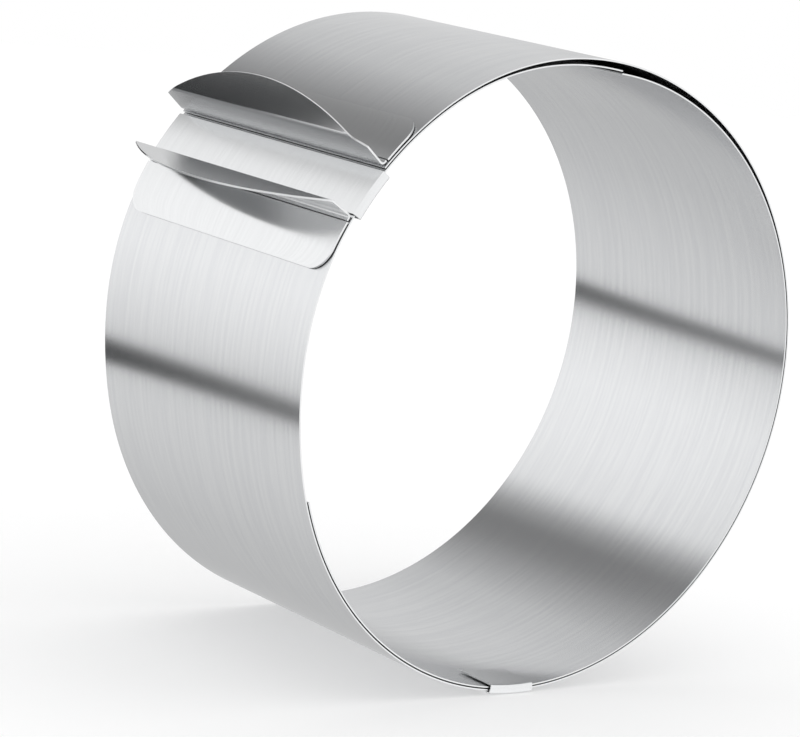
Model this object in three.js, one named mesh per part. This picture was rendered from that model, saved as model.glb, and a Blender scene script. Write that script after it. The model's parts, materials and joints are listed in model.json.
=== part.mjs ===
// Adjustable cake ring: one long spring-steel strip coiled in about two turns, with a clamp and a guide clip.
// Millimetres, +Z up along the ring's axis, the clamp and its finger wings at the front, towards -Y.
// Every piece is bent sheet metal, so every mesh is a box of one sheet's thickness, bent along a path.
import * as THREE from "three";

// Driving dimensions of the strip
const STRIP_WIDTH = 85;
const STRIP_THICKNESS = 0.4;
const INNER_RADIUS = 78.7;
const CLEARANCE = 0.3;
// How far the outer turn bulges out over the clamp, beyond lying on the turn inside it
const CLAMP_BULGE = 2.4;
// Width of the slack between the two turns beside the clamp
const CLAMP_SLACK = 0.45;

// Driving dimensions of the clamp
const SHEET_THICKNESS = 0.4;
const SLEEVE_WIDTH = 12.7;
const SLEEVE_TAB_LENGTH = 9;
const SLEEVE_ROOM = 1.2;
// Width of the open slot between the sleeve and the strip's outer end, with the left wing's leaf over it
const SLEEVE_SLOT = 0.9;
const PLATE_THICKNESS = 0.5;
const PLATE_WIDTH = 14.8;
const PLATE_CORNER = 6;
const PLATE_MARGIN = 0.2;
const PLATE_TAPER = 0.3;
// How far each end of a wing stays inside the strip's rims
const WING_MARGIN = 0.5;
const WING_LENGTH = STRIP_WIDTH - 2 * WING_MARGIN;
// Height of each crease over the plate, and of the free edge at the wing's middle and at its ends
const LEFT_CREASE_HEIGHT = 9;
const RIGHT_CREASE_HEIGHT = 6.7;
const WING_MIDDLE_HEIGHT = 17.8;
const WING_END_HEIGHT = 6.6;
const WING_ROOT_LENGTH = 1.4;
const WING_ROOT_BEND = 0.8;
const WING_CREASE_BEND = 1.6;

// Driving dimensions of the guide clip
const CLIP_WIDTH = 14.2;
const CLIP_TAB_LENGTH = 12.6;
const CLIP_LOWER_TAB_LENGTH = 5;

// Centre-line radius of a sharp fold in a tab
const FOLD_BEND = 0.4;

// Directions in degrees. A turn is counted clockwise from the clamp, seen from above
const CLAMP_DIRECTION = -90;
const CLIP_TURN = 237;
const TAIL_TURN = 60;
const INNER_TURN_START = 60;
const INNER_TURN_END = 305;
const BULGE_FALLS = [16, 90];
const SLACK_FALLS = [50, 140];
const BULGE_RISES = [305, 360];
const WING_LEAF_LEAN = 1;
const LEFT_LIP_LEAN = 45;
const RIGHT_LIP_LEAN = 39;
const FULL_TURN = 360;
const RIGHT_ANGLE = 90;

// Numbers of flat facets
const STRIP_FACET_ANGLE = 2.5;
const SMALL_ARC_FACETS = 4;
const PLATE_FACETS = 14;
const WING_FACETS = 24;
const LIP_FACETS = 3;

// The tail falls from the outer turn to the inner one along a curve of this power
const TAIL_POWER = 4;

const { degToRad, lerp, smootherstep } = THREE.MathUtils;
const lap = STRIP_THICKNESS + CLEARANCE;
const innerTurnRadius = INNER_RADIUS + STRIP_THICKNESS / 2;
const turnAlong = (length, radius) => THREE.MathUtils.radToDeg(length / radius);

// Distance of the outer turn's middle from the inner turn's, by degrees clockwise from the clamp.
// Beside the clamp it lies over the tail, with slack, and bulges; before the clamp it rises to pass under it.
function outerTurnLift(turn) {
  const overTail = (lap + CLAMP_SLACK) * (1 - smootherstep(turn, ...SLACK_FALLS));
  const bulge = CLAMP_BULGE * (1 - smootherstep(turn, ...BULGE_FALLS));
  const toClamp = (CLAMP_SLACK + CLAMP_BULGE) * smootherstep(turn, ...BULGE_RISES);
  return lap + overTail + bulge + toClamp;
}

// The outer strip's lift: one whole turn, then the tail that passes under the clamp towards the inner turn.
function outerStripLift(turn) {
  if (turn <= FULL_TURN) return outerTurnLift(turn);
  const past = turn - FULL_TURN;
  const held = 1 - Math.pow(past / TAIL_TURN, TAIL_POWER);
  return lap + (outerTurnLift(past) - 2 * lap) * held;
}

const outerStripRadius = (turn) => innerTurnRadius + outerStripLift(turn);

function onRing(radius, turn, height) {
  const angle = degToRad(CLAMP_DIRECTION - turn);
  return new THREE.Vector3(radius * Math.cos(angle), radius * Math.sin(angle), height);
}

// A box of one unit, bent so that each of its points goes where place(along, across, through) says.
function bentSheet(alongFacets, acrossFacets, place) {
  const geometry = new THREE.BoxGeometry(1, 1, 1, alongFacets, acrossFacets, 1);
  const position = geometry.getAttribute("position");
  for (let i = 0; i < position.count; i++) {
    const share = new THREE.Vector3().fromBufferAttribute(position, i).addScalar(1 / 2);
    const point = place(share.x, share.y, share.z);
    position.setXYZ(i, point.x, point.y, point.z);
  }
  geometry.computeVertexNormals();
  return geometry;
}

// The middle line of a folded sheet: runs of a length, and bends to the left of an angle and a radius.
// Each station holds its place and its normal, which is the heading turned left.
function foldedLine(start, heading, folds) {
  const at = start.clone();
  let angle = degToRad(heading);
  const stations = [];
  const mark = () => {
    const normal = new THREE.Vector2(-Math.sin(angle), Math.cos(angle));
    stations.push({ at: at.clone(), normal });
  };
  mark();
  for (const { run, bend, radius } of folds) {
    const steps = bend === undefined ? 1 : SMALL_ARC_FACETS;
    const turn = bend === undefined ? 0 : degToRad(bend) / steps;
    const step = bend === undefined ? run / steps : 2 * radius * Math.sin(Math.abs(turn) / 2);
    for (let i = 0; i < steps; i++) {
      angle += turn / 2;
      at.add(new THREE.Vector2(Math.cos(angle), Math.sin(angle)).multiplyScalar(step));
      angle += turn / 2;
      mark();
    }
  }
  return stations;
}

// The strip on edge, from one turn back to another, with its middle at a radius that may follow the turn.
function stripGeometry(fromTurn, toTurn, radiusAt) {
  const facets = Math.ceil((fromTurn - toTurn) / STRIP_FACET_ANGLE);
  return bentSheet(facets, 1, (along, across, through) => {
    const turn = lerp(fromTurn, toTurn, along);
    return onRing(radiusAt(turn) + (through - 1 / 2) * STRIP_THICKNESS, turn, across * STRIP_WIDTH);
  });
}

// The sleeve's band is centred on the clamp, and the strip's outer end lies beside it, across the slot.
const clampRadius = outerStripRadius(FULL_TURN) + lap;
const sleeveHalfTurn = turnAlong(SLEEVE_WIDTH / 2, clampRadius);
const outerEndTurn = sleeveHalfTurn + turnAlong(SLEEVE_SLOT, clampRadius);

// A band over the outside with both ends folded round the rims: its middle line in (radius, height).
function tabbedBandLine(tabRadius, bandRadius, lowerTab, upperTab) {
  const rim = CLEARANCE + SHEET_THICKNESS / 2;
  const across = bandRadius - tabRadius - 2 * FOLD_BEND;
  const fold = { bend: RIGHT_ANGLE, radius: FOLD_BEND };
  const tab = (length) => ({ run: length - FOLD_BEND });
  const height = STRIP_WIDTH + 2 * (rim - FOLD_BEND);
  const start = new THREE.Vector2(tabRadius, lowerTab - rim);
  const overRim = [fold, { run: across }, fold];
  return foldedLine(start, -RIGHT_ANGLE, [tab(lowerTab), ...overRim, { run: height }, ...overRim, tab(upperTab)]);
}

// The band's middle line carried round the ring between two turns; lift says how far out it moves on the way.
function tabbedBand(line, fromTurn, toTurn, lift) {
  return bentSheet(SMALL_ARC_FACETS, line.length - 1, (along, across, through) => {
    const { at, normal } = line[Math.round(across * (line.length - 1))];
    const turn = lerp(fromTurn, toTurn, along);
    const offset = (1 / 2 - through) * SHEET_THICKNESS;
    return onRing(at.x + normal.x * offset + lift(turn), turn, at.y + normal.y * offset);
  });
}

// The clamp's sleeve lies over the passing strip between the wings, and its tabs hold the strip from inside.
function sleeveGeometry() {
  const passing = outerStripRadius(FULL_TURN);
  const band = passing + STRIP_THICKNESS / 2 + CLEARANCE + SHEET_THICKNESS / 2;
  const tab = passing - STRIP_THICKNESS / 2 - SLEEVE_ROOM - SHEET_THICKNESS / 2;
  const line = tabbedBandLine(tab, band, SLEEVE_TAB_LENGTH, SLEEVE_TAB_LENGTH);
  const lift = (turn) => outerStripRadius(turn + FULL_TURN) - passing;
  return tabbedBand(line, sleeveHalfTurn, -sleeveHalfTurn, lift);
}

// The guide clip grips both turns, so that they stay one inside the other.
function clipGeometry() {
  const band = outerStripRadius(CLIP_TURN) + STRIP_THICKNESS / 2 + CLEARANCE + SHEET_THICKNESS / 2;
  const tab = INNER_RADIUS - CLEARANCE - SHEET_THICKNESS / 2;
  const half = turnAlong(CLIP_WIDTH / 2, band);
  const line = tabbedBandLine(tab, band, CLIP_LOWER_TAB_LENGTH, CLIP_TAB_LENGTH);
  return tabbedBand(line, CLIP_TURN + half, CLIP_TURN - half, () => 0);
}

// A finger piece: a plate that lies on the strip beside the sleeve, and a wing at the sleeve's edge.
// Its side is 1 on the left and -1 on the right. It lies on the strip at stripTurn past its own place,
// and its leaf's near face stands a gap away from the sleeve's edge.
function fingerPiece(side, stripTurn, gap, creaseHeight, lipLean) {
  const seat = (STRIP_THICKNESS + PLATE_THICKNESS) / 2 + CLEARANCE;
  const radiusAt = (turn) => outerStripRadius(turn + stripTurn) + seat;
  const leafTurn = side * (sleeveHalfTurn + turnAlong(gap + PLATE_THICKNESS / 2, clampRadius));
  return { side, radiusAt, leafTurn, leafRadius: radiusAt(leafTurn), creaseHeight, lipLean };
}

// The left piece sits on the strip's outer end, and the right one on the strip that comes in under the sleeve.
const left = fingerPiece(1, 0, SLEEVE_SLOT, LEFT_CREASE_HEIGHT, LEFT_LIP_LEAN);
const right = fingerPiece(-1, FULL_TURN, CLEARANCE, RIGHT_CREASE_HEIGHT, RIGHT_LIP_LEAN);

function plateGeometry({ side, radiusAt, leafTurn, leafRadius }) {
  const near = leafTurn + side * turnAlong(WING_ROOT_LENGTH + CLEARANCE, leafRadius);
  const far = leafTurn + side * turnAlong(PLATE_WIDTH, leafRadius);
  const length = PLATE_WIDTH - WING_ROOT_LENGTH - CLEARANCE;
  const heights = (share) => {
    const toCorner = Math.max(PLATE_CORNER - (1 - share) * length, 0);
    const corner = PLATE_CORNER - Math.sqrt(PLATE_CORNER ** 2 - toCorner ** 2);
    const inset = PLATE_MARGIN + PLATE_TAPER * share + corner;
    return [inset, STRIP_WIDTH - inset];
  };
  // Facets get shorter towards the rounded corners
  const shareAt = (along) => Math.sin((along * Math.PI) / 2);
  return bentSheet(PLATE_FACETS, 1, (along, across, through) => {
    const share = side > 0 ? shareAt(1 - along) : shareAt(along);
    const [low, high] = heights(share);
    const turn = lerp(near, far, share);
    return onRing(radiusAt(turn) + (through - 1 / 2) * PLATE_THICKNESS, turn, lerp(low, high, across));
  });
}

// Height of the wing's free edge over the plate, counted along the sheet, at a share of the wing's length.
// It is one arc over the whole length, which cuts into the leaf near the wing's ends.
function edgeHeight(share) {
  const sag = WING_MIDDLE_HEIGHT - WING_END_HEIGHT;
  const radius = ((WING_LENGTH / 2) ** 2 + sag ** 2) / (2 * sag);
  const fromMiddle = (share - 1 / 2) * WING_LENGTH;
  return WING_MIDDLE_HEIGHT - radius + Math.sqrt(radius ** 2 - fromMiddle ** 2);
}

// The middle line of a sheet after a length of it: straight runs, bends to the left, and a last run without end.
function foldedPath(start, folds, length) {
  const at = start.clone();
  let angle = 0;
  let rest = length;
  for (const { run = 0, bend = 0, radius = 1 } of folds) {
    const part = Math.min(rest, bend === 0 ? run : radius * degToRad(bend));
    const turn = bend === 0 ? 0 : part / radius;
    const step = bend === 0 ? part : 2 * radius * Math.sin(turn / 2);
    at.add(new THREE.Vector2(Math.cos(angle + turn / 2), Math.sin(angle + turn / 2)).multiplyScalar(step));
    angle += turn;
    rest -= part;
  }
  return { at, normal: new THREE.Vector2(-Math.sin(angle), Math.cos(angle)) };
}

// The wing: a short root in line with the plate, a leaf that stands up, and a lip leant back from the crease.
// Its middle line is in (distance towards the sleeve, distance out), up to the free edge's height.
// Where that edge cuts below the crease, the stations from leaf to lip draw together.
function wingLine({ creaseHeight, lipLean }, height) {
  const root = { bend: RIGHT_ANGLE - WING_LEAF_LEAN, radius: WING_ROOT_BEND };
  const crease = { bend: WING_LEAF_LEAN + lipLean, radius: WING_CREASE_BEND };
  const takenBy = ({ bend, radius }) => radius * Math.tan(degToRad(bend) / 2);
  const lengthOf = ({ bend, radius }) => radius * degToRad(bend);
  const rootRun = WING_ROOT_LENGTH - takenBy(root);
  const leafRun = creaseHeight - takenBy(root) - takenBy(crease);
  const bent = rootRun + lengthOf(root);
  const creased = leafRun + lengthOf(crease);
  const edge = bent + height - takenBy(root);
  const drawn = Math.min((edge - PLATE_THICKNESS - bent) / creased, 1);
  const arc = ({ bend, radius }, from) =>
    Array.from({ length: SMALL_ARC_FACETS }, (_, i) => from + (radius * degToRad(bend) * (i + 1)) / SMALL_ARC_FACETS);
  const lipStart = bent + creased * drawn;
  const lengths = [
    0,
    rootRun,
    ...arc(root, rootRun),
    ...[leafRun, ...arc(crease, leafRun)].map((length) => bent + length * drawn),
    ...Array.from({ length: LIP_FACETS }, (_, i) => lerp(lipStart, edge, (i + 1) / LIP_FACETS)),
  ];
  const folds = [{ run: rootRun }, root, { run: leafRun }, crease, { run: Infinity }];
  return lengths.map((length) => foldedPath(new THREE.Vector2(-WING_ROOT_LENGTH, 0), folds, length));
}

function wingGeometry(piece) {
  const { side, leafTurn, leafRadius } = piece;
  const lines = Array.from({ length: WING_FACETS + 1 }, (_, i) => wingLine(piece, edgeHeight(i / WING_FACETS)));
  const stations = lines[0].length - 1;
  const out = onRing(1, leafTurn, 0);
  const toSleeve = new THREE.Vector3(0, 0, 1).cross(out).multiplyScalar(side);
  return bentSheet(stations, WING_FACETS, (along, across, through) => {
    const line = lines[Math.round(across * WING_FACETS)];
    const { at, normal } = line[Math.round((side > 0 ? along : 1 - along) * stations)];
    const middle = at.clone().addScaledVector(normal, (through - 1 / 2) * PLATE_THICKNESS);
    const height = new THREE.Vector3(0, 0, WING_MARGIN + across * WING_LENGTH);
    return height.addScaledVector(out, leafRadius + middle.y).addScaledVector(toSleeve, middle.x);
  });
}

function steel(name, geometry, finish) {
  const mesh = new THREE.Mesh(geometry, new THREE.MeshStandardMaterial({ ...finish, metalness: 1 }));
  mesh.name = name;
  return mesh;
}

const STRIP_STEEL = { color: 0xc6c7c8, roughness: 0.32 };
const CLAMP_STEEL = { color: 0xd2d3d4, roughness: 0.26 };

const outerStrip = stripGeometry(FULL_TURN + TAIL_TURN, outerEndTurn, outerStripRadius);
const innerStrip = stripGeometry(INNER_TURN_END, INNER_TURN_START, () => innerTurnRadius);
const strip = new THREE.Group();
strip.add(
  steel("outer_strip", outerStrip, STRIP_STEEL),
  steel("inner_strip", innerStrip, STRIP_STEEL),
);

const fittings = new THREE.Group();
fittings.add(
  steel("clamp_sleeve", sleeveGeometry(), CLAMP_STEEL),
  steel("left_finger_plate", plateGeometry(left), CLAMP_STEEL),
  steel("right_finger_plate", plateGeometry(right), CLAMP_STEEL),
  steel("left_finger_wing", wingGeometry(left), CLAMP_STEEL),
  steel("right_finger_wing", wingGeometry(right), CLAMP_STEEL),
  steel("guide_clip", clipGeometry(), CLAMP_STEEL),
);

// The part's origin is under the middle of its box, at the level of the folds it stands on.
const ring = new THREE.Group();
ring.add(strip, fittings);
const box = new THREE.Box3().setFromObject(ring);
const middle = box.getCenter(new THREE.Vector3());
ring.position.set(-middle.x, -middle.y, -box.min.z);

const group = new THREE.Group();
group.name = "adjustable_cake_ring";
group.add(ring);
export default group;
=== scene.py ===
"""Adjustable cake ring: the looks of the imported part.

The real ring is one spring-hard stainless strip, coiled in about two turns, with a clamp of folded sheet, two finger
wings that release it, and a narrow guide clip. Every piece is bent sheet metal. So each one is a middle surface,
worked out as a grid of points, which gets its gauge from Solidify and its broken edges from Bevel.

Lengths are in millimetres until a mesh, a texture or the camera is made, and angles are in degrees. A turn is an
angle counted clockwise from the clamp, seen from above, as in the part's source.
"""

from __future__ import annotations

import json
import logging
import math
from dataclasses import dataclass
from enum import Enum

import bpy
import numpy as np
from mathutils import Matrix, Vector

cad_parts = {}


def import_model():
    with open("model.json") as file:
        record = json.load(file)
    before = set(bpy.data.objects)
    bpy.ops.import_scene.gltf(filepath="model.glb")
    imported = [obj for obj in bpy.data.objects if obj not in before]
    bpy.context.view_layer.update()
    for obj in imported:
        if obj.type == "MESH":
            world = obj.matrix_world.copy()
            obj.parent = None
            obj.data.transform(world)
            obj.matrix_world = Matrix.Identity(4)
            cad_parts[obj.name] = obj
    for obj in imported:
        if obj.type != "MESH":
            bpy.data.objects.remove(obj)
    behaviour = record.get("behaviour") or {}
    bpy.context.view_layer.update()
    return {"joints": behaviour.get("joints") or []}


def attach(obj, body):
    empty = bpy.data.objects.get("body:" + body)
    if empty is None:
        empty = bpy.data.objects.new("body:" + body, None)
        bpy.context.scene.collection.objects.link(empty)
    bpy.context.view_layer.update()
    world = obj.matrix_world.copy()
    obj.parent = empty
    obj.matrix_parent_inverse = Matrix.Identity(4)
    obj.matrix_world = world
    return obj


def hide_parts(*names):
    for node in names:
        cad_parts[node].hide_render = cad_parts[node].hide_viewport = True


LOG = logging.getLogger("cake_ring")
MM = 0.001
SHEET_UV = "along_and_across"
RIGHT_ANGLE = 90.0
FULL_TURN = 360.0

# Fineness of the grids: degrees of turn between rows of the strip, then numbers of rows, columns and steps
STRIP_ROW_TURN = 0.5
STRIP_COLUMNS = 9
BAND_ROWS = 13
TAB_STEPS, RIM_STEPS, WALL_STEPS = 6, 2, 24
PLATE_ROWS, PLATE_COLUMNS = 61, 41
WING_COLUMNS = 121
WING_FOLD_STEPS = 24
ROOT_ROWS, BEND_ROWS, LEAF_ROWS, CREASE_ROWS, LIP_ROWS = 3, 9, 11, 13, 13
FLAG_ROWS = 41
ONE_QUAD = np.array([[0, 1, 2, 3]])

# The rounding of a deburred edge, which begins at folds sharper than the angle
EDGE_SEGMENTS = 2
EDGE_ANGLE = 40.0

# Values that one noise, and the sum of two, keep between but for rare peaks
NOISE_RANGE = {"From Min": 0.3, "From Max": 0.7}
NOISE_SUM_RANGE = {"From Min": 0.7, "From Max": 1.3}
NOISE_ROUGHNESS = 0.6
GRAIN_DETAIL, STREAK_DETAIL, BURR_DETAIL = 3.0, 2.0, 1.0

# Numbers of the sockets that a Mix node uses for colours: both inputs and the result
COLOUR_A, COLOUR_B, COLOUR_MIXED = 6, 7, 2

# The camera's sensor in millimetres, and the nearest and farthest metres that it sees
SENSOR_WIDTH = 36.0
CLIP_START, CLIP_END = 0.01, 20.0


class Slot(Enum):
    """The record's material slots."""

    STRIP = "strip_steel"
    CLAMP = "clamp_steel"


class Body(Enum):
    """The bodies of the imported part."""

    RING = "ring"
    INNER_TURN = "inner_turn"
    LEFT_WING = "left_wing"
    RIGHT_WING = "right_wing"


class Side(Enum):
    """The side of the sleeve that a finger piece stands on, seen from the clamp."""

    LEFT = 1
    RIGHT = -1


def linear(hex_colour: str) -> tuple[float, float, float, float]:
    """Turns an sRGB hex colour into linear light: c / 12.92 up to 0.04045, and ((c + 0.055) / 1.055) ^ 2.4 above.

    Args:
        hex_colour: The colour as "#RRGGBB".

    Returns:
        Linear red, green and blue, and an alpha of 1.
    """
    digits = hex_colour.lstrip("#")
    channels = [int(digits[i : i + 2], 16) / 255 for i in (0, 2, 4)]
    light = [c / 12.92 if c <= 0.04045 else ((c + 0.055) / 1.055) ** 2.4 for c in channels]
    return (*light, 1.0)


def even_grey(level: float) -> tuple[float, float, float, float]:
    """A linear grey: the level three times, and an alpha of 1."""
    return (level, level, level, 1.0)


def empty_material(name: str) -> bpy.types.Material:
    """Makes a material whose nodes are still to come.

    Args:
        name: Its name.

    Returns:
        The material.
    """
    material = bpy.data.materials.new(name)
    material.use_nodes = True
    material.node_tree.nodes.clear()
    return material


def add_node(
    tree: bpy.types.NodeTree,
    kind: str,
    settings: dict[str, object] | None = None,
    inputs: dict[str | int, object] | None = None,
) -> bpy.types.Node:
    """Adds one node.

    Args:
        tree: The node tree.
        kind: The node's type, without "ShaderNode".
        settings: Values of the node's own properties.
        inputs: For each input, by name or number, its value or the output socket that feeds it.

    Returns:
        The node.
    """
    node = tree.nodes.new("ShaderNode" + kind)
    for name, value in (settings or {}).items():
        setattr(node, name, value)
    for name, value in (inputs or {}).items():
        socket = node.inputs[name]
        if isinstance(value, bpy.types.NodeSocket):
            tree.links.new(value, socket)
        else:
            socket.default_value = value
    return node


@dataclass(frozen=True)
class BrushedSteel:
    """Cold-rolled 18/8 stainless sheet, brushed on a belt.

    The belt leaves hair-thin scratches, all along one way. They draw a reflection out across the grain and keep it
    crisp along it, so a lamp or a dark wall shows as a band that runs across the strip.

    Attributes:
        name: The material's name.
        tint: The metal's own reflection colour.
        shade: Its colour in the deeper scratches.
        roughness: Mean roughness.
        roughness_swing: How far the grain moves the roughness up and down.
        anisotropy: How much more the sheet spreads light across the grain.
        grain: Length and width of a scratch in millimetres. Real ones are about 0.03 wide and don't show, so these
            are drawn as coarse as the picture's sharpness needs.
        streak: Length and width of the broader streaks of the belt.
        relief: Depth of the grain in millimetres.
    """

    name: str
    tint: str = "#D8D9DA"
    shade: str = "#D3D4D6"
    roughness: float = 0.22
    roughness_swing: float = 0.009
    anisotropy: float = 0.9
    grain: tuple[float, float] = (9.0, 0.16)
    streak: tuple[float, float] = (70.0, 1.3)
    relief: float = 0.0001

    def marks(self, tree: bpy.types.NodeTree, size: tuple[float, float], detail: float) -> bpy.types.NodeSocket:
        """Adds a noise on the sheet's UV map, scaled by 1 / size, so that its cells are drawn out along the grain.

        Args:
            tree: The material's node tree.
            size: Length and width of a cell in millimetres.
            detail: How many finer octaves it has.

        Returns:
            The socket that gives the noise.
        """
        uv = add_node(tree, "UVMap", {"uv_map": SHEET_UV}).outputs["UV"]
        along, across = (1 / (s * MM) for s in size)
        place = add_node(tree, "Mapping", {}, {"Vector": uv, "Scale": (along, across, 1.0)}).outputs["Vector"]
        values = {"Vector": place, "Scale": 1.0, "Detail": detail, "Roughness": NOISE_ROUGHNESS}
        return add_node(tree, "TexNoise", {"noise_dimensions": "2D"}, values).outputs["Fac"]

    def material(self) -> bpy.types.Material:
        """Makes the material from two noises, stretched along the grain, that swing roughness, tint and relief.

        Returns:
            The material.
        """
        material = empty_material(self.name)
        tree = material.node_tree
        grain = self.marks(tree, self.grain, GRAIN_DETAIL)
        streak = self.marks(tree, self.streak, STREAK_DETAIL)
        both = add_node(tree, "Math", {"operation": "ADD"}, {0: grain, 1: streak}).outputs[0]
        share = add_node(
            tree, "MapRange", {"interpolation_type": "SMOOTHSTEP"}, {"Value": both, **NOISE_SUM_RANGE}
        ).outputs["Result"]
        colour = add_node(
            tree, "Mix", {"data_type": "RGBA"},
            {"Factor": share, COLOUR_A: linear(self.shade), COLOUR_B: linear(self.tint)},
        ).outputs[COLOUR_MIXED]
        rough = add_node(
            tree, "MapRange", {},
            {
                "Value": both, **NOISE_SUM_RANGE,
                "To Min": self.roughness + self.roughness_swing, "To Max": self.roughness - self.roughness_swing,
            },
        ).outputs["Result"]
        relief = add_node(
            tree, "Bump", {}, {"Height": grain, "Strength": 1.0, "Distance": self.relief * MM}
        ).outputs["Normal"]
        # The ring's axis lies in every sheet, and the grain runs square to it
        across = add_node(tree, "CombineXYZ", {}, {"Z": 1.0})
        shader = add_node(
            tree, "BsdfPrincipled", {},
            {
                "Base Color": colour, "Metallic": 1.0, "Roughness": rough, "Normal": relief,
                "Anisotropic": self.anisotropy, "Tangent": across.outputs["Vector"],
            },
        )
        add_node(tree, "OutputMaterial", {}, {"Surface": shader.outputs["BSDF"]})
        return material


@dataclass(frozen=True)
class ShearedEdge:
    """The cut edge of stainless sheet: bright where the blade sheared it, rougher where it broke.

    It has no brushing, so it shines evenly, a little brighter than the sheet.

    Attributes:
        name: The material's name.
        tint: The bare metal's reflection colour.
        roughness: Mean roughness.
        roughness_swing: How far the marks move the roughness up and down.
        burr: Width in millimetres of the marks that the blade leaves across the edge.
    """

    name: str
    tint: str = "#E2E3E4"
    roughness: float = 0.34
    roughness_swing: float = 0.06
    burr: float = 0.5

    def material(self) -> bpy.types.Material:
        """Makes the material: one fine noise on Object coordinates swings the roughness.

        Returns:
            The material.
        """
        material = empty_material(self.name)
        tree = material.node_tree
        place = add_node(tree, "TexCoord").outputs["Object"]
        noise = add_node(
            tree, "TexNoise", {}, {"Vector": place, "Scale": 1 / (self.burr * MM), "Detail": BURR_DETAIL}
        ).outputs["Fac"]
        rough = add_node(
            tree, "MapRange", {},
            {
                "Value": noise, **NOISE_RANGE,
                "To Min": self.roughness - self.roughness_swing, "To Max": self.roughness + self.roughness_swing,
            },
        ).outputs["Result"]
        shader = add_node(
            tree, "BsdfPrincipled", {}, {"Base Color": linear(self.tint), "Metallic": 1.0, "Roughness": rough}
        )
        add_node(tree, "OutputMaterial", {}, {"Surface": shader.outputs["BSDF"]})
        return material


STRIP_FINISH = BrushedSteel("brushed_spring_steel_strip")
CLAMP_FINISH = BrushedSteel(
    "brushed_stainless_sheet", tint="#DFE0E1", shade="#DBDCDD", roughness=0.2, grain=(6.0, 0.14)
)
EDGE_FINISH = ShearedEdge("sheared_stainless_edge")


def smootherstep(x: np.ndarray, start: float, end: float) -> np.ndarray:
    """A rise from 0 at start to 1 at end: 6 t^5 - 15 t^4 + 10 t^3, where t is the share of the way."""
    t = np.clip((np.asarray(x, float) - start) / (end - start), 0.0, 1.0)
    return t**3 * (t * (6 * t - 15) + 10)


def turn_along(length: float, radius: float) -> float:
    """The turn in degrees that a length takes on a radius: length / radius in radians."""
    return math.degrees(length / radius)


@dataclass(frozen=True)
class Run:
    """A straight run of a folded sheet: its length and its number of steps."""

    length: float
    steps: int = 1


@dataclass(frozen=True)
class Fold:
    """A bend of a folded sheet to the left: its angle, the radius of its middle line and its number of steps."""

    angle: float
    radius: float
    steps: int = 8

    @property
    def takes(self) -> float:
        """The length that the bend takes from each of its two straight runs: radius times tan(angle / 2)."""
        return self.radius * math.tan(math.radians(self.angle) / 2)


def folded_line(start: tuple[float, float], heading: float, parts: list[Run | Fold]) -> np.ndarray:
    """The middle line of a folded sheet in its own plane.

    Each part gives equal chords: length / steps for a run, and 2 radius sin(angle / 2 / steps) for a fold, with the
    chord's heading half a step further round. The points are the running sum of the chords.

    Args:
        start: Where the line begins.
        heading: The direction in degrees that it sets out in.
        parts: Its runs and folds in order.

    Returns:
        The points, one row each.
    """
    lengths, headings = [], []
    for part in parts:
        if isinstance(part, Run):
            lengths.append(np.full(part.steps, part.length / part.steps))
            headings.append(np.full(part.steps, heading))
        else:
            step = part.angle / part.steps
            lengths.append(np.full(part.steps, 2 * part.radius * math.sin(math.radians(step) / 2)))
            headings.append(heading + step * (np.arange(part.steps) + 0.5))
            heading += part.angle
    length = np.concatenate(lengths)
    angle = np.radians(np.concatenate(headings))
    steps = np.stack([length * np.cos(angle), length * np.sin(angle)], axis=1)
    return np.vstack([start, np.array(start) + np.cumsum(steps, axis=0)])


def arc_lengths(points: np.ndarray) -> np.ndarray:
    """The distance covered along a row of points, from 0 at the first: the running sum of the gaps between them."""
    gaps = np.linalg.norm(np.diff(points, axis=0), axis=1)
    return np.concatenate([[0.0], np.cumsum(gaps)])


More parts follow.
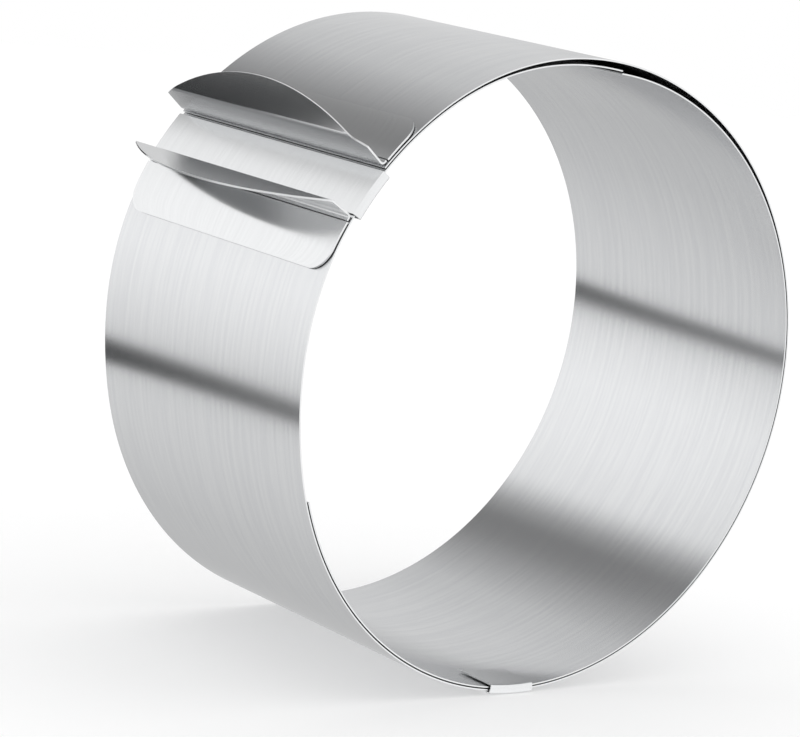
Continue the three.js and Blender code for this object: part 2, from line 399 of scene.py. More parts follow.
@dataclass(frozen=True)
class Sheet:
    """A finished piece of sheet metal, from the grid of its middle surface.

    Attributes:
        name: The piece's name.
        points: The middle surface in millimetres, an array of rows by columns by 3.
        gauge: Thickness of the sheet.
        broken_edge: Width of the small rounding that deburring leaves along the edges.
    """

    name: str
    points: np.ndarray
    gauge: float
    broken_edge: float = 0.09

    def mesh(self) -> bpy.types.Mesh:
        """Makes the middle surface as a grid of quads, with a UV map in metres along and across.

        The surface's two parameters are row and column. The arc lengths along the middle column and along the middle
        row give the map, so it has the sheet's real size.

        Returns:
            The mesh, still without materials.
        """
        rows, columns = self.points.shape[:2]
        index = np.arange(rows * columns).reshape(rows, columns)
        corners = [index[:-1, :-1], index[1:, :-1], index[1:, 1:], index[:-1, 1:]]
        quads = np.stack(corners, axis=-1).reshape(-1, 4)
        mesh = bpy.data.meshes.new(self.name)
        mesh.vertices.add(rows * columns)
        mesh.vertices.foreach_set("co", (self.points * MM).astype(np.float32).ravel())
        mesh.loops.add(quads.size)
        mesh.loops.foreach_set("vertex_index", quads.astype(np.int32).ravel())
        mesh.polygons.add(len(quads))
        mesh.polygons.foreach_set("loop_start", np.arange(0, quads.size, 4, dtype=np.int32))
        mesh.update(calc_edges=True)
        mesh.polygons.foreach_set("use_smooth", np.ones(len(quads), bool))
        along = arc_lengths(self.points[:, columns // 2])[:, None] * np.ones(columns)
        across = arc_lengths(self.points[rows // 2])[None, :] * np.ones((rows, 1))
        uv = np.stack([along, across], axis=-1).reshape(-1, 2)[quads.ravel()] * MM
        mesh.uv_layers.new(name=SHEET_UV).data.foreach_set("uv", uv.astype(np.float32).ravel())
        return mesh

    def make(self, finish: bpy.types.Material, edge: bpy.types.Material) -> bpy.types.Object:
        """Makes the piece: the middle surface, Solidify for its gauge and Bevel for its broken edges.

        Args:
            finish: The faces' material.
            edge: The cut edges' material.

        Returns:
            The object, at the origin and unturned.
        """
        mesh = self.mesh()
        mesh.materials.append(finish)
        mesh.materials.append(edge)
        piece = bpy.data.objects.new(self.name, mesh)
        bpy.context.scene.collection.objects.link(piece)
        wall = piece.modifiers.new("gauge", "SOLIDIFY")
        wall.thickness, wall.offset = self.gauge * MM, 0.0
        wall.use_even_offset = wall.use_quality_normals = True
        wall.material_offset_rim = 1
        rounding = piece.modifiers.new("broken_edge", "BEVEL")
        rounding.width, rounding.segments = self.broken_edge * MM, EDGE_SEGMENTS
        rounding.limit_method, rounding.angle_limit = "ANGLE", math.radians(EDGE_ANGLE)
        rounding.harden_normals = True
        return piece


def hand_over(piece: bpy.types.Object, body: Body, node: str) -> None:
    """Ties a finished piece to its body, hides the node that it stands for, and reports it.

    Args:
        piece: The finished object.
        body: The body that it moves with.
        node: The node that it replaces.
    """
    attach(piece, body.value)
    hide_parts(node)
    LOG.info("%s: %d faces before its gauge, on body %s", piece.name, len(piece.data.polygons), body.value)


@dataclass(frozen=True)
class Coil:
    """The course of the strip's two turns, as in the part's source.

    Attributes:
        axis: Place of the ring's axis in the row frame.
        base: Height of the strip's lower rim over the folds that the ring stands on.
        width: Height of the ring, which is the strip's width.
        gauge: Thickness of the strip.
        inner_radius: Radius of the cake space.
        clearance: Gap between touching sheets.
        bulge: How far the outer turn bulges out over the clamp.
        slack: Width of the slack between the turns beside the clamp.
        tail: Turn over which the strip runs on under the clamp and falls to the inner turn.
        tail_power: Power of the curve along which it falls.
        bulge_falls: Turns between which the bulge falls off beyond the clamp.
        slack_falls: Turns between which the slack falls off, past the tail's end.
        bulge_rises: Turns between which the outer turn rises again to pass under the clamp.
    """

    axis: tuple[float, float]
    base: float = 0.7
    width: float = 85.0
    gauge: float = 0.4
    inner_radius: float = 78.7
    clearance: float = 0.3
    bulge: float = 2.4
    slack: float = 0.45
    tail: float = 60.0
    tail_power: float = 4.0
    bulge_falls: tuple[float, float] = (16.0, 90.0)
    slack_falls: tuple[float, float] = (50.0, 140.0)
    bulge_rises: tuple[float, float] = (305.0, 360.0)

    @property
    def lap(self) -> float:
        """Distance of the middles of two sheets that lie on each other: gauge plus clearance."""
        return self.gauge + self.clearance

    @property
    def inner_turn_radius(self) -> float:
        """Radius of the inner turn's middle."""
        return self.inner_radius + self.gauge / 2

    def lift(self, turn: np.ndarray) -> np.ndarray:
        """Distance of the outer turn's middle from the inner turn's.

        It is the lap, plus lap and slack that fall off smoothly where the tail ends, plus the bulge over the clamp
        that falls off beyond it, plus slack and bulge again where the turn comes back in under the clamp.

        Args:
            turn: Turns from 0 to 360.

        Returns:
            The distances.
        """
        over_tail = (self.lap + self.slack) * (1 - smootherstep(turn, *self.slack_falls))
        bulge = self.bulge * (1 - smootherstep(turn, *self.bulge_falls))
        to_clamp = (self.slack + self.bulge) * smootherstep(turn, *self.bulge_rises)
        return self.lap + over_tail + bulge + to_clamp

    def outer_radius(self, turn: np.ndarray) -> np.ndarray:
        """Radius of the outer strip's middle, tail included.

        Past a whole turn the tail lies one lap inside the outer turn, and this distance falls off as 1 minus the
        share of the tail to a power, until it lies one lap outside the inner turn.

        Args:
            turn: Turns from 0 to 360 and on along the tail.

        Returns:
            The radii.
        """
        turn = np.asarray(turn, float)
        past = np.clip(turn - FULL_TURN, 0.0, self.tail)
        held = 1 - (past / self.tail) ** self.tail_power
        tail = self.lap + (self.lift(past) - 2 * self.lap) * held
        lift = np.where(turn > FULL_TURN, tail, self.lift(np.minimum(turn, FULL_TURN)))
        return self.inner_turn_radius + lift

    def place(self, radius: np.ndarray, turn: np.ndarray, height: np.ndarray) -> np.ndarray:
        """Points of the row frame: the axis plus radius times (cos, sin) of -90 degrees minus the turn.

        Args:
            radius: Distances from the axis.
            turn: Turns from the clamp.
            height: Heights over the strip's lower rim.

        Returns:
            The points, with x, y and z along the last axis.
        """
        radius, turn, height = np.broadcast_arrays(radius, turn, height)
        angle = np.radians(-RIGHT_ANGLE - turn)
        return np.stack(
            [self.axis[0] + radius * np.cos(angle), self.axis[1] + radius * np.sin(angle), self.base + height],
            axis=-1,
        )

    def strip(self, name: str, from_turn: float, to_turn: float, radius: float | None = None) -> Sheet:
        """A stretch of the strip: turn along the rows and height across.

        Args:
            name: The piece's name.
            from_turn: Turn of its first row.
            to_turn: Turn of its last row.
            radius: Radius of its middle, or None for the outer strip's.

        Returns:
            The sheet.
        """
        turns = np.linspace(from_turn, to_turn, round((from_turn - to_turn) / STRIP_ROW_TURN) + 1)[:, None]
        heights = np.linspace(0.0, self.width, STRIP_COLUMNS)[None, :]
        middle = self.outer_radius(turns) if radius is None else radius
        return Sheet(name, self.place(middle, turns, heights), self.gauge)


@dataclass(frozen=True)
class Strip:
    """The coiled strip: the outer turn with its tail, and the inner turn that slides in it.

    Attributes:
        coil: The course of the strip.
        outer_start: Turn of the outer end, beside the sleeve.
        inner_end: Turn of the strip's inner end.
    """

    coil: Coil
    outer_start: float
    inner_end: float = 305.0

    def dress(self, finish: bpy.types.Material, edge: bpy.types.Material) -> None:
        """Makes both turns and ties them to their bodies. The inner one begins in line with the tail's end.

        Args:
            finish: The strip's finish.
            edge: The finish of its slit edges.
        """
        coil = self.coil
        outer = coil.strip("outer_turn", FULL_TURN + coil.tail, self.outer_start).make(finish, edge)
        hand_over(outer, Body.RING, "outer_strip")
        inner = coil.strip("inner_turn", self.inner_end, coil.tail, coil.inner_turn_radius).make(finish, edge)
        hand_over(inner, Body.INNER_TURN, "inner_strip")


@dataclass(frozen=True)
class TabbedBand:
    """A band over the outside of the ring, with both ends folded round the rims onto the inside.

    Attributes:
        tab_radius: Radius of the tabs' middle, inside the ring.
        band_radius: Radius of the band's middle.
        lower_tab: Length of the tab at the lower rim.
        upper_tab: Length of the tab at the upper rim.
        gauge: Thickness of the sheet.
        fold_radius: Radius of the folds' middle line.
    """

    tab_radius: float
    band_radius: float
    lower_tab: float
    upper_tab: float
    gauge: float
    fold_radius: float = 0.4

    def line(self, coil: Coil) -> np.ndarray:
        """The band's middle line: down one tab, over the rim, up the outside, over the other rim, down the other tab.

        Args:
            coil: The course of the strip, which gives the rims.

        Returns:
            Its points as (radius, height), one row each.
        """
        rim = coil.clearance + self.gauge / 2
        fold = Fold(RIGHT_ANGLE, self.fold_radius)
        lower, upper = (Run(length - self.fold_radius, TAB_STEPS) for length in (self.lower_tab, self.upper_tab))
        over_rim = [fold, Run(self.band_radius - self.tab_radius - 2 * self.fold_radius, RIM_STEPS), fold]
        wall = Run(coil.width + 2 * (rim - self.fold_radius), WALL_STEPS)
        start = (self.tab_radius, self.lower_tab - rim)
        return folded_line(start, -RIGHT_ANGLE, [lower, *over_rim, wall, *over_rim, upper])

    def sheet(self, name: str, coil: Coil, from_turn: float, to_turn: float, strip_turn: float | None = None) -> Sheet:
        """The band: turn along the rows and its middle line across.

        Args:
            name: The piece's name.
            coil: The course of the strip.
            from_turn: Turn of its first row.
            to_turn: Turn of its last row.
            strip_turn: Added to a turn, it gives the part of the strip that the band follows in and out. None keeps
                the band's radius even.

        Returns:
            The sheet.
        """
        line = self.line(coil)
        turns = np.linspace(from_turn, to_turn, BAND_ROWS)[:, None]
        moved = 0.0
        if strip_turn is not None:
            moved = coil.outer_radius(turns + strip_turn) - coil.outer_radius(strip_turn)
        return Sheet(name, coil.place(line[None, :, 0] + moved, turns, line[None, :, 1]), self.gauge)


@dataclass(frozen=True)
class GuideClip:
    """The guide clip, which keeps both turns one inside the other.

    Attributes:
        coil: The course of the strip.
        turn: Where it sits.
        width: Its width round the ring.
        upper_tab: Length of its tab at the upper rim.
        lower_tab: Length of the one at the lower rim.
        gauge: Thickness of its sheet.
    """

    coil: Coil
    turn: float = 237.0
    width: float = 14.2
    upper_tab: float = 12.6
    lower_tab: float = 5.0
    gauge: float = 0.4

    def dress(self, finish: bpy.types.Material, edge: bpy.types.Material) -> None:
        """Carries the middle line round the ring over the clip's width, and ties the clip to its body.

        Args:
            finish: The sheet's finish.
            edge: The finish of its cut edges.
        """
        coil = self.coil
        band = float(coil.outer_radius(self.turn)) + coil.gauge / 2 + coil.clearance + self.gauge / 2
        tab = coil.inner_radius - coil.clearance - self.gauge / 2
        half = turn_along(self.width / 2, band)
        clip = TabbedBand(tab, band, self.lower_tab, self.upper_tab, self.gauge)
        sheet = clip.sheet("guide_clip_sheet", coil, self.turn + half, self.turn - half)
        hand_over(sheet.make(finish, edge), Body.RING, "guide_clip")


@dataclass(frozen=True)
class FingerPiece:
    """A finger piece: a plate on the strip beside the sleeve, and a creased wing at the sleeve's edge.

    Attributes:
        coil: The course of the strip.
        side: The side of the sleeve.
        strip_turn: Added to a turn, it gives the part of the strip that the plate lies on.
        leaf_turn: Turn of the wing's leaf.
        crease_height: Height of the wing's crease over the plate.
        lip_lean: Angle that the lip leans back by.
        gauge: Thickness of the sheet.
        width: Width of the plate round the ring.
        corner: Radius of the plate's two free corners.
        margin: Distance of the plate's ends from the strip's rims.
        taper: How much further in the ends are at the plate's far edge.
        wing_margin: Distance of the wing's ends from the strip's rims.
        root_length: Length of the wing's root, in line with the plate.
        middle_height: Height of the wing's free edge over the plate at the middle, counted along the sheet.
        end_height: The same at the wing's ends.
        leaf_lean: Angle that the leaf leans towards the sleeve by.
        root_radius: Radius of the root's bend.
        crease_radius: Radius of the crease.
    """

    coil: Coil
    side: Side
    strip_turn: float
    leaf_turn: float
    crease_height: float
    lip_lean: float
    gauge: float
    width: float = 14.8
    corner: float = 6.0
    margin: float = 0.2
    taper: float = 0.3
    wing_margin: float = 0.5
    root_length: float = 1.4
    middle_height: float = 17.8
    end_height: float = 6.6
    leaf_lean: float = 1.0
    root_radius: float = 0.8
    crease_radius: float = 1.6

    @property
    def length(self) -> float:
        """Length of the wing along the ring's height: the strip's width less a margin at each end."""
        return self.coil.width - 2 * self.wing_margin

    def radius(self, turn: np.ndarray) -> np.ndarray:
        """Radius of the plate's middle: the strip's, plus both half gauges and the clearance."""
        seat = (self.coil.gauge + self.gauge) / 2 + self.coil.clearance
        return self.coil.outer_radius(np.asarray(turn) + self.strip_turn) + seat

    def plate(self, name: str) -> Sheet:
        """The plate: share of its width along the rows, and height across, between ends that taper and round off.

        The ends draw in by the margin, the taper times the share, and a quarter circle over the last stretch.

        Args:
            name: The piece's name.

        Returns:
            The sheet.
        """
        leaf_radius = float(self.radius(self.leaf_turn))
        side = self.side.value
        near = self.leaf_turn + side * turn_along(self.root_length + self.coil.clearance, leaf_radius)
        far = self.leaf_turn + side * turn_along(self.width, leaf_radius)
        length = self.width - self.root_length - self.coil.clearance
        share = np.sin(np.linspace(0.0, math.pi / 2, PLATE_ROWS))
        to_corner = np.maximum(self.corner - (1 - share) * length, 0.0)
        corner = self.corner - np.sqrt(np.maximum(self.corner**2 - to_corner**2, 0.0))
        inset = (self.margin + self.taper * share + corner)[:, None]
        across = np.linspace(0.0, 1.0, PLATE_COLUMNS)[None, :]
        height = inset + across * (self.coil.width - 2 * inset)
        turn = (near + (far - near) * share)[:, None]
        points = self.coil.place(self.radius(turn), turn, height)
        return Sheet(name, points if side < 0 else points[::-1], self.gauge)

    def edge_height(self, share: np.ndarray) -> np.ndarray:
        """Height of the wing's free edge over the plate, counted along the sheet: one arc over the wing's length.

        It is m - R + sqrt(R^2 - x^2), where x counts from the wing's middle, m is the height there, s is how much
        lower the ends are, and R = ((length / 2)^2 + s^2) / (2 s).

        Args:
            share: Shares of the wing's length.

        Returns:
            The heights.
        """
        sag = self.middle_height - self.end_height
        arc = ((self.length / 2) ** 2 + sag**2) / (2 * sag)
        x = (share - 0.5) * self.length
        return self.middle_height - arc + np.sqrt(arc**2 - x**2)

    def wing(self, name: str) -> Sheet:
        """The wing: lengths of sheet along the rows, and the ring's height across.

        Its section is a short root, a bend, a leaf, the crease and a lip, up to the free edge. Where that edge cuts
        below the crease, the rows from leaf to lip draw together, so that the section keeps its course. Each point
        is the course at its length, set out from the axis towards the sleeve and outward, at its share of the height.

        Args:
            name: The piece's name.

        Returns:
            The sheet.
        """
        root = Fold(RIGHT_ANGLE - self.leaf_lean, self.root_radius, WING_FOLD_STEPS)
        crease = Fold(self.leaf_lean + self.lip_lean, self.crease_radius, WING_FOLD_STEPS)
        root_run = self.root_length - root.takes
        leaf_run = self.crease_height - root.takes - crease.takes
        parts = [Run(root_run), root, Run(leaf_run), crease, Run(self.middle_height)]
        course = folded_line((-self.root_length, 0.0), 0.0, parts)
        covered = arc_lengths(course)
        bent, leaf_end = covered[1 + root.steps], covered[2 + root.steps]
        creased = covered[2 + root.steps + crease.steps]
        share = np.linspace(0.0, 1.0, WING_COLUMNS)
        edge = bent + self.edge_height(share) - root.takes
        drawn = np.minimum((edge - self.gauge - bent) / (creased - bent), 1.0)
        lip_start = bent + (creased - bent) * drawn
        to_bend = np.concatenate([np.linspace(0.0, root_run, ROOT_ROWS), np.linspace(root_run, bent, BEND_ROWS)[1:]])
        leaf = np.linspace(bent, leaf_end, LEAF_ROWS)[1:] - bent
        to_lip = np.concatenate([leaf, np.linspace(leaf_end, creased, CREASE_ROWS)[1:] - bent])
        lengths = np.vstack([
            np.repeat(to_bend[:, None], len(share), axis=1),
            bent + to_lip[:, None] * drawn,
            lip_start + np.linspace(0.0, 1.0, LIP_ROWS)[1:, None] * (edge - lip_start),
        ])
        toward, outward = (np.interp(lengths, covered, course[:, i])[..., None] for i in (0, 1))
        side = self.side.value
        angle = math.radians(-RIGHT_ANGLE - self.leaf_turn)
        out = np.array([math.cos(angle), math.sin(angle), 0.0])
        to_sleeve = side * np.array([-out[1], out[0], 0.0])
        height = self.coil.base + self.wing_margin + share * self.length
        points = (
            np.array([*self.coil.axis, 0.0])
            + out * (float(self.radius(self.leaf_turn)) + outward)
            + to_sleeve * toward
            + np.array([0.0, 0.0, 1.0]) * height[None, :, None]
        )
        return Sheet(name, points if side > 0 else points[::-1], self.gauge)


@dataclass(frozen=True)
class Clamp:
    """The clamp: the sleeve over the passing strip, and a finger piece on either side of it.

    Attributes:
        coil: The course of the strip.
        sleeve_width: Width of the sleeve round the ring.
        sleeve_tab: Length of the sleeve's tabs.
        sleeve_room: Room between the tabs and the strip.
        sleeve_gauge: Thickness of the sleeve's sheet.
        plate_gauge: Thickness of the finger pieces' sheet.
        slot: Width of the open slot between the sleeve and the left wing's leaf.
        crease_heights: Heights of the left and the right wing's crease over their plates.
        lip_leans: Angles that their lips lean back by.
    """

    coil: Coil
    sleeve_width: float = 12.7
    sleeve_tab: float = 9.0
    sleeve_room: float = 1.2
    sleeve_gauge: float = 0.4
    plate_gauge: float = 0.5
    slot: float = 0.9
    crease_heights: tuple[float, float] = (9.0, 6.7)
    lip_leans: tuple[float, float] = (45.0, 39.0)

    @property
    def radius(self) -> float:
        """Radius of the sleeve's middle, one lap over the passing strip."""
        return float(self.coil.outer_radius(FULL_TURN)) + self.coil.lap

    @property
    def half_turn(self) -> float:
        """Half the turn that the sleeve covers."""
        return turn_along(self.sleeve_width / 2, self.radius)

    @property
    def strip_end(self) -> float:
        """Turn of the strip's outer end, across the slot from the sleeve."""
        return self.half_turn + turn_along(self.slot, self.radius)

    def sleeve(self) -> Sheet:
        """The sleeve: turn along the rows and its middle line across, moved out as far as the strip that it covers.

        Returns:
            The sheet.
        """
        coil = self.coil
        passing = float(coil.outer_radius(FULL_TURN))
        band = passing + coil.gauge / 2 + coil.clearance + self.sleeve_gauge / 2
        tab = passing - coil.gauge / 2 - self.sleeve_room - self.sleeve_gauge / 2
        sleeve = TabbedBand(tab, band, self.sleeve_tab, self.sleeve_tab, self.sleeve_gauge)
        return sleeve.sheet("sleeve_sheet", coil, self.half_turn, -self.half_turn, FULL_TURN)

    def dress(self, finish: bpy.types.Material, edge: bpy.types.Material) -> None:
        """Makes the sleeve and both finger pieces and ties them to their bodies.

        Args:
            finish: The finish of the sheets.
            edge: The finish of their cut edges.
        """
        hand_over(self.sleeve().make(finish, edge), Body.RING, "clamp_sleeve")
        left_turn = self.half_turn + turn_along(self.slot + self.plate_gauge / 2, self.radius)
        right_turn = self.half_turn + turn_along(self.coil.clearance + self.plate_gauge / 2, self.radius)
        creases, leans = self.crease_heights, self.lip_leans
        left = FingerPiece(self.coil, Side.LEFT, 0.0, left_turn, creases[0], leans[0], self.plate_gauge)
        right = FingerPiece(self.coil, Side.RIGHT, FULL_TURN, -right_turn, creases[1], leans[1], self.plate_gauge)
        for piece, word, body in ((left, "left", Body.LEFT_WING), (right, "right", Body.RIGHT_WING)):
            plate = piece.plate(f"{word}_plate_sheet").make(finish, edge)
            hand_over(plate, Body.RING, f"{word}_finger_plate")
            wing = piece.wing(f"{word}_wing_sheet").make(finish, edge)
            hand_over(wing, body, f"{word}_finger_wing")


@dataclass(frozen=True)
class ProductCamera:
    """The photograph's camera, from a fit to both rims.

    Attributes:
        ring_middle: The middle of the ring's axis.
        azimuth: Where it stands, in degrees from -Y towards +X.
        elevation: Its angle above the horizon.
        roll: Turn of the picture's up about the line of sight.
        distance: Distance of the eye from the point that it aims at.
        aim: The point that it aims at, from the ring's middle.
        lens: Focal length.
    """

    ring_middle: tuple[float, float, float]
    azimuth: float = 18.534
    elevation: float = 49.586
    roll: float = -109.909
    distance: float = 801.39
    aim: tuple[float, float, float] = (11.947, -5.060, -7.318)
    lens: float = 138.357

    @property
    def back(self) -> Vector:
        """Direction from what it aims at to the eye."""
        a, e = math.radians(self.azimuth), math.radians(self.elevation)
        return Vector((math.sin(a) * math.cos(e), -math.cos(a) * math.cos(e), math.sin(e)))

    @property
    def eye(self) -> np.ndarray:
        """Place of the eye in millimetres from the middle of the ring."""
        return np.array(self.aim) + np.array(self.back) * self.distance

    def make(self) -> None:
        """Makes the camera and sets it as the scene's."""
        back, r = self.back, math.radians(self.roll)
        horizontal = (-back).cross(Vector((0, 0, 1))).normalized()
        upright = horizontal.cross(-back)
        up = upright * math.cos(r) + horizontal * math.sin(r)
        right = (-back).cross(up)
        data = bpy.data.cameras.new("product_camera")
        data.lens, data.sensor_width = self.lens, SENSOR_WIDTH
        data.clip_start, data.clip_end = CLIP_START, CLIP_END
        camera = bpy.data.objects.new("product_camera", data)
        eye = (Vector(self.ring_middle) + Vector(self.eye)) * MM
        camera.matrix_world = Matrix.Translation(eye) @ Matrix((right, up, back)).transposed().to_4x4()
        bpy.context.scene.collection.objects.link(camera)
        bpy.context.scene.camera = camera


def stage_finish(name: str, kind: str, colour: str, one_sided: bool = True) -> bpy.types.Material:
    """Makes a plain finish for the stage: a shader of one kind in one colour.

    Args:
        name: The material's name.
        kind: "Emission" for flag cloth that no lamp lightens, or "BsdfDiffuse" for matt paper.
        colour: Its sRGB colour.
        one_sided: True if it is clear from behind, so that a camera or a ray there sees past it.

    Returns:
        The material.
    """
    material = empty_material(name)
    tree = material.node_tree
    shader = add_node(tree, kind, {}, {"Color": linear(colour)})
    if one_sided:
        behind = add_node(tree, "NewGeometry").outputs["Backfacing"]
        clear = add_node(tree, "BsdfTransparent")
        shader = add_node(tree, "MixShader", {}, {0: behind, 1: shader.outputs[0], 2: clear.outputs[0]})
    add_node(tree, "OutputMaterial", {}, {"Surface": shader.outputs[0]})
    return material


@dataclass(frozen=True)
class StripeFlag:
    """A narrow dark flag beside the camera's view, which both walls of the ring mirror as a stripe along their height.

    Attributes:
        name: The flag's name.
        spot: The middle of the outer wall's stripe, from the middle of the ring.
        facing: Direction that the wall faces there, in degrees from +X.
        distance: Distance of the flag from the spot, which also sets how high the inner wall's stripe sits.
        width: Its width.
        grey: Colour of its cloth.
        turned: How far it leans sideways, in degrees, which turns the stripe.
        spread: How far the brushing tips the wall's facets down and up, in degrees, so that the flag is long enough.
    """

    name: str
    spot: tuple[float, float, float]
    facing: float
    distance: float
    width: float
    grey: str
    turned: float
    spread: tuple[float, float] = (-26.0, 26.0)

    def grid(self, eye: np.ndarray) -> np.ndarray:
        """The flag's two edges, from the middle of the ring.

        A facet that the brushing has tipped by t has the normal n cos t + z sin t. It mirrors to the eye what lies in
        the direction 2 (v . h) h - v, where v points to the eye and h is that normal. The flag follows these
        directions at its distance, and moves sideways by tan(turned) times the length from its middle.

        Args:
            eye: The camera's place from the middle of the ring.

        Returns:
            An array of rows by 2 by 3.
        """
        spot = np.array(self.spot)
        to_eye = (eye - spot) / np.linalg.norm(eye - spot)
        tip = np.radians(np.linspace(*self.spread, FLAG_ROWS))[:, None]
        angle = math.radians(self.facing)
        normal = np.array([math.cos(angle), math.sin(angle), 0.0]) * np.cos(tip) + [0.0, 0.0, 1.0] * np.sin(tip)
        course = 2 * (normal @ to_eye)[:, None] * normal - to_eye
        middle = spot + self.distance * course
        along = np.gradient(middle, axis=0)
        aside = np.cross(course, along)
        aside /= np.linalg.norm(aside, axis=1)[:, None]
        length = arc_lengths(middle)
        shear = math.tan(math.radians(self.turned)) * (length - np.interp(0.0, tip[:, 0], length))
        middle = middle + aside * shear[:, None]
        return middle[:, None] + aside[:, None] * (np.array([-0.5, 0.5])[None, :, None] * self.width)


@dataclass(frozen=True)
class WingScreen:
    """An upright flag beside a wing, whose grey shows only to the rays that come from that wing's side.

    Attributes:
        name: The flag's name.
        near: Its end at the ring, seen from above, from the ring's axis.
        far: Its other end.
        heights: Its lower and upper edge, from the middle of the ring.
        grey: Colour of its cloth.
    """

    name: str
    near: tuple[float, float]
    far: tuple[float, float]
    heights: tuple[float, float]
    grey: str


@dataclass(frozen=True)
class Studio:
    """A white studio with grey panels, a floor on the side that the ring lies on, and the lamps that light it.

    Attributes:
        ring_middle: The middle of the ring's axis.
        to_eye: Direction from the ring to the camera.
        panels: Brightness of the surroundings by direction, in degrees from +X, in order from -180 to 180. A wall
            of the ring that faces a direction mirrors the panel of that direction to the camera.
        roof: Their brightness overhead.
        roof_rise: Between these heights of a direction, as its z, the roof takes over from the panels.
        fill: Brightness of the surroundings for the light that falls on the floor.
        lamp_strength: Light of the lamp that casts a shadow on the floor.
        soft_strength: Light of the one that casts none, so that with the fill white paper is about white.
        lamp_angle: Apparent width of the lamp in degrees, which softens the shadow.
        lamp_course: Direction that the lamp's light takes: down to the floor, along the ring's axis, and sideways.
        floor_direction: Direction from the axis to the floor that the ring lies on in the photograph.
        floor_distance: Distance of that floor from the axis.
        floor_reach: How far it goes on to each side.
        lamp_distance: Distance of the lamps. They are suns, so it has no effect on their light.
        stripe: The flag that draws the stripe across both walls.
        screens: The flags that darken the wings' lips and the left one's leaf.
    """

    ring_middle: tuple[float, float, float]
    to_eye: tuple[float, float, float]
    panels: tuple[tuple[float, float], ...] = (
        (-180.0, 0.65), (-162.0, 0.68), (-144.0, 0.87), (-132.0, 0.85), (-120.0, 0.74), (-112.0, 0.50),
        (-106.0, 0.31), (-101.0, 0.26), (-97.0, 0.45), (-91.0, 1.1), (-80.0, 1.22), (-68.0, 1.25), (-60.0, 1.15),
        (-52.0, 0.98), (-36.0, 0.88), (-20.0, 0.75), (-6.0, 0.69), (20.0, 0.69), (180.0, 0.65),
    )
    roof: float = 1.19
    roof_rise: tuple[float, float] = (-0.1, 0.3)
    fill: float = 0.68
    lamp_strength: float = 0.2
    soft_strength: float = 1.0
    lamp_angle: float = 70.0
    lamp_course: tuple[float, float, float] = (0.8, 0.04, -0.7)
    floor_direction: float = 33.95
    floor_distance: float = 80.6
    floor_reach: float = 1500.0
    lamp_distance: float = 600.0
    stripe: StripeFlag = StripeFlag("outer_flag", (51.3, -61.6, 0.0), -47.8, 320.0, 30.5, "#38393A", -8.0)
    screens: tuple[WingScreen, ...] = (
        WingScreen("lip_screen", (6.6, -84.8), (69.6, -168.8), (-213.0, -33.0), "#3B3C3D"),
        WingScreen("leaf_screen", (0.0, -75.4), (0.0, -93.5), (-58.0, 44.0), "#8E8F90"),
        WingScreen("right_lip_screen", (17.0, -77.0), (32.0, -108.4), (-58.0, -8.0), "#8E8F90"),
    )

    @property
    def down(self) -> tuple[float, float, float]:
        """Direction from the axis to the floor: the cosine and the sine of its angle, and no height."""
        angle = math.radians(self.floor_direction)
        return (math.cos(angle), math.sin(angle), 0.0)

    def light(self) -> None:
        """Makes the world: white to the camera and through glass, the panels to reflections, and the fill to the rest.

        The panels stand round a point off the middle: their direction is that of a ray's course plus the one to the
        eye, seen from above. So a reflection that the brushing draws out up or down stays on its own panel.
        """
        world = bpy.data.worlds.new("white_studio")
        world.use_nodes = True
        tree = world.node_tree
        tree.nodes.clear()
        direction = add_node(tree, "TexCoord").outputs["Generated"]
        eye_side = (self.to_eye[0], self.to_eye[1], 0.0)
        halfway = add_node(tree, "VectorMath", {"operation": "ADD"}, {0: direction, 1: eye_side}).outputs["Vector"]
        axes = add_node(tree, "SeparateXYZ", {}, {0: halfway})
        angle = add_node(tree, "Math", {"operation": "ARCTAN2"}, {0: axes.outputs["Y"], 1: axes.outputs["X"]})
        share = add_node(
            tree, "MapRange", {}, {"Value": angle.outputs[0], "From Min": -math.pi, "From Max": math.pi}
        )
        ramp = add_node(tree, "ValToRGB", {}, {"Fac": share.outputs["Result"]})
        stops = ramp.color_ramp.elements
        # A new ramp already has the first and the last stop
        for azimuth, _ in self.panels[1:-1]:
            stops.new((azimuth + FULL_TURN / 2) / FULL_TURN)
        for stop, (_, brightness) in zip(stops, self.panels, strict=True):
            stop.color = even_grey(brightness)
        low, high = self.roof_rise
        overhead = add_node(
            tree, "MapRange", {"interpolation_type": "SMOOTHSTEP"},
            {"Value": axes.outputs["Z"], "From Min": low, "From Max": high},
        ).outputs["Result"]
        mirrored = add_node(
            tree, "Mix", {"data_type": "RGBA"},
            {"Factor": overhead, COLOUR_A: ramp.outputs["Color"], COLOUR_B: even_grey(self.roof)},
        ).outputs[COLOUR_MIXED]
        path = add_node(tree, "LightPath")
        glossy, white = path.outputs["Is Glossy Ray"], even_grey(1.0)
        colour = add_node(
            tree, "Mix", {"data_type": "RGBA"}, {"Factor": glossy, COLOUR_A: white, COLOUR_B: mirrored}
        ).outputs[COLOUR_MIXED]
        backdrop = add_node(tree, "Background", {}, {"Color": colour, "Strength": 1.0})
        fill = add_node(tree, "Background", {}, {"Color": white, "Strength": self.fill})
        seen = path.outputs["Is Camera Ray"]
        for kind in ("Is Glossy Ray", "Is Transmission Ray"):
            seen = add_node(tree, "Math", {"operation": "MAXIMUM"}, {0: seen, 1: path.outputs[kind]}).outputs[0]
        both = add_node(tree, "MixShader", {}, {0: seen, 1: fill.outputs[0], 2: backdrop.outputs[0]})
        add_node(tree, "OutputWorld", {}, {"Surface": both.outputs[0]})
        bpy.context.scene.world = world

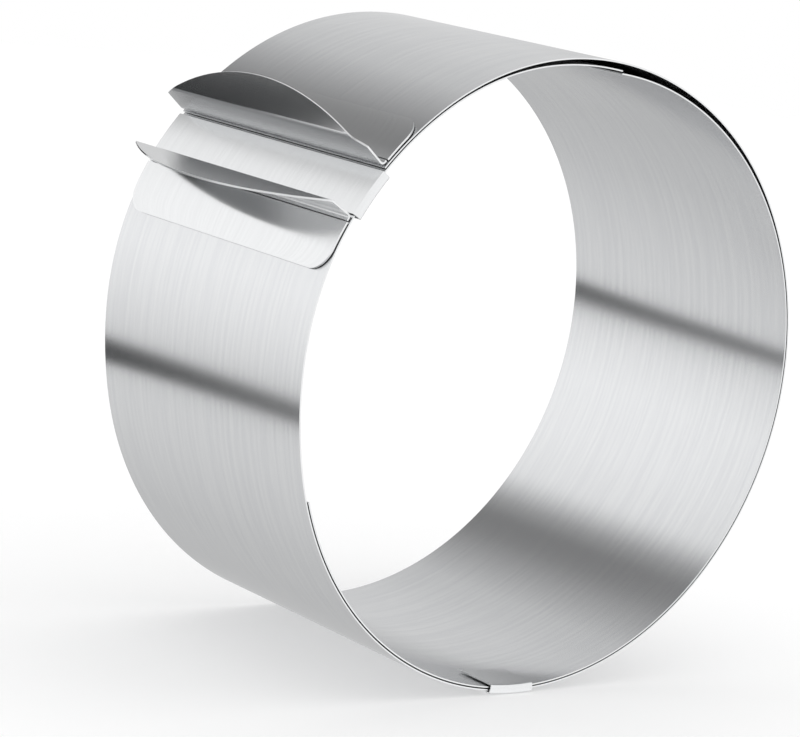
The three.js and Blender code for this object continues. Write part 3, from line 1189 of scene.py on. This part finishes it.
    def flags(self, eye: np.ndarray) -> None:
        """Makes the flags, which only reflections show.

        Args:
            eye: The camera's place from the middle of the ring.
        """
        edges = self.stripe.grid(eye)
        index = np.arange(2 * len(edges)).reshape(-1, 2)
        faces = np.stack([index[:-1, 0], index[1:, 0], index[1:, 1], index[:-1, 1]], axis=-1)
        cloth = stage_finish(self.stripe.name + "_cloth", "Emission", self.stripe.grey, one_sided=False)
        self.card(self.stripe.name, edges.reshape(-1, 3), faces, cloth)
        for screen in self.screens:
            (x0, y0), (x1, y1), (low, high) = screen.near, screen.far, screen.heights
            corners = np.array([(x0, y0, low), (x1, y1, low), (x1, y1, high), (x0, y0, high)])
            cloth = stage_finish(screen.name + "_cloth", "Emission", screen.grey)
            self.card(screen.name, corners, ONE_QUAD, cloth)

    def card(
        self, name: str, points: np.ndarray, faces: np.ndarray, finish: bpy.types.Material, mirrored: bool = True
    ) -> None:
        """Makes one card of the stage.

        Args:
            name: Its name.
            points: Its points in millimetres from the middle of the ring, one row each.
            faces: The point numbers of each face, one row each.
            finish: Its material.
            mirrored: True if reflections alone show it, and False if all but reflections do.
        """
        mesh = bpy.data.meshes.new(name)
        mesh.from_pydata(((points + np.array(self.ring_middle)) * MM).tolist(), [], faces.tolist())
        mesh.materials.append(finish)
        card = bpy.data.objects.new(name, mesh)
        bpy.context.scene.collection.objects.link(card)
        card.visible_glossy = mirrored
        card.visible_camera = card.visible_diffuse = card.visible_shadow = card.visible_transmission = not mirrored

    def lamps(self) -> None:
        """Makes the lamp that casts the ring's soft shadow, and one that lights the whole floor without shadow.

        The steel mirrors the panels, not the lamps.
        """
        down, along = Vector(self.down), Vector((0.0, 0.0, 1.0))
        course = down * self.lamp_course[0] + along * self.lamp_course[1] + along.cross(down) * self.lamp_course[2]
        for name, strength, heading, shadow in (
            ("studio_lamp", self.lamp_strength, course, True), ("soft_lamp", self.soft_strength, down, False),
        ):
            data = bpy.data.lights.new(name, "SUN")
            data.energy, data.angle, data.use_shadow = strength, math.radians(self.lamp_angle), shadow
            lamp = bpy.data.objects.new(name, data)
            lamp.rotation_euler = heading.to_track_quat("-Z", "Y").to_euler()
            lamp.location = (Vector(self.ring_middle) - heading * self.lamp_distance) * MM
            lamp.visible_glossy = False
            bpy.context.scene.collection.objects.link(lamp)

    def floor(self) -> None:
        """Makes the floor on the side that the ring lies on: matt white paper, clear from behind, with the shadow."""
        out, axis = np.array(self.down), np.array([0.0, 0.0, 1.0])
        along = np.cross(axis, out)
        sides = ((1, -1), (-1, -1), (-1, 1), (1, 1))
        corners = np.array([out * self.floor_distance + (along * a + axis * b) * self.floor_reach for a, b in sides])
        paper = stage_finish("matt_white_paper", "BsdfDiffuse", "#FDFDFD")
        self.card("studio_floor", corners, ONE_QUAD, paper, mirrored=False)


def main() -> None:
    """Builds the ring around its frame, and the studio, in order."""
    logging.basicConfig(level=logging.INFO, format="%(name)s %(message)s")
    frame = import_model()
    hinge = next(j for j in frame["joints"] if j["name"] == "size_setting")
    middle = tuple(c / MM for c in hinge["pos_m"])
    camera = ProductCamera(middle)
    camera.make()
    strip_finish, clamp_finish, edge_finish = (f.material() for f in (STRIP_FINISH, CLAMP_FINISH, EDGE_FINISH))
    coil = Coil(middle[:2])
    clamp = Clamp(coil)
    Strip(coil, clamp.strip_end).dress(strip_finish, edge_finish)
    clamp.dress(clamp_finish, edge_finish)
    GuideClip(coil).dress(clamp_finish, edge_finish)
    studio = Studio(middle, tuple(camera.back))
    studio.light()
    studio.flags(camera.eye)
    studio.lamps()
    studio.floor()
    bpy.context.scene.view_settings.view_transform = "Standard"


if __name__ == "__main__":
    main()
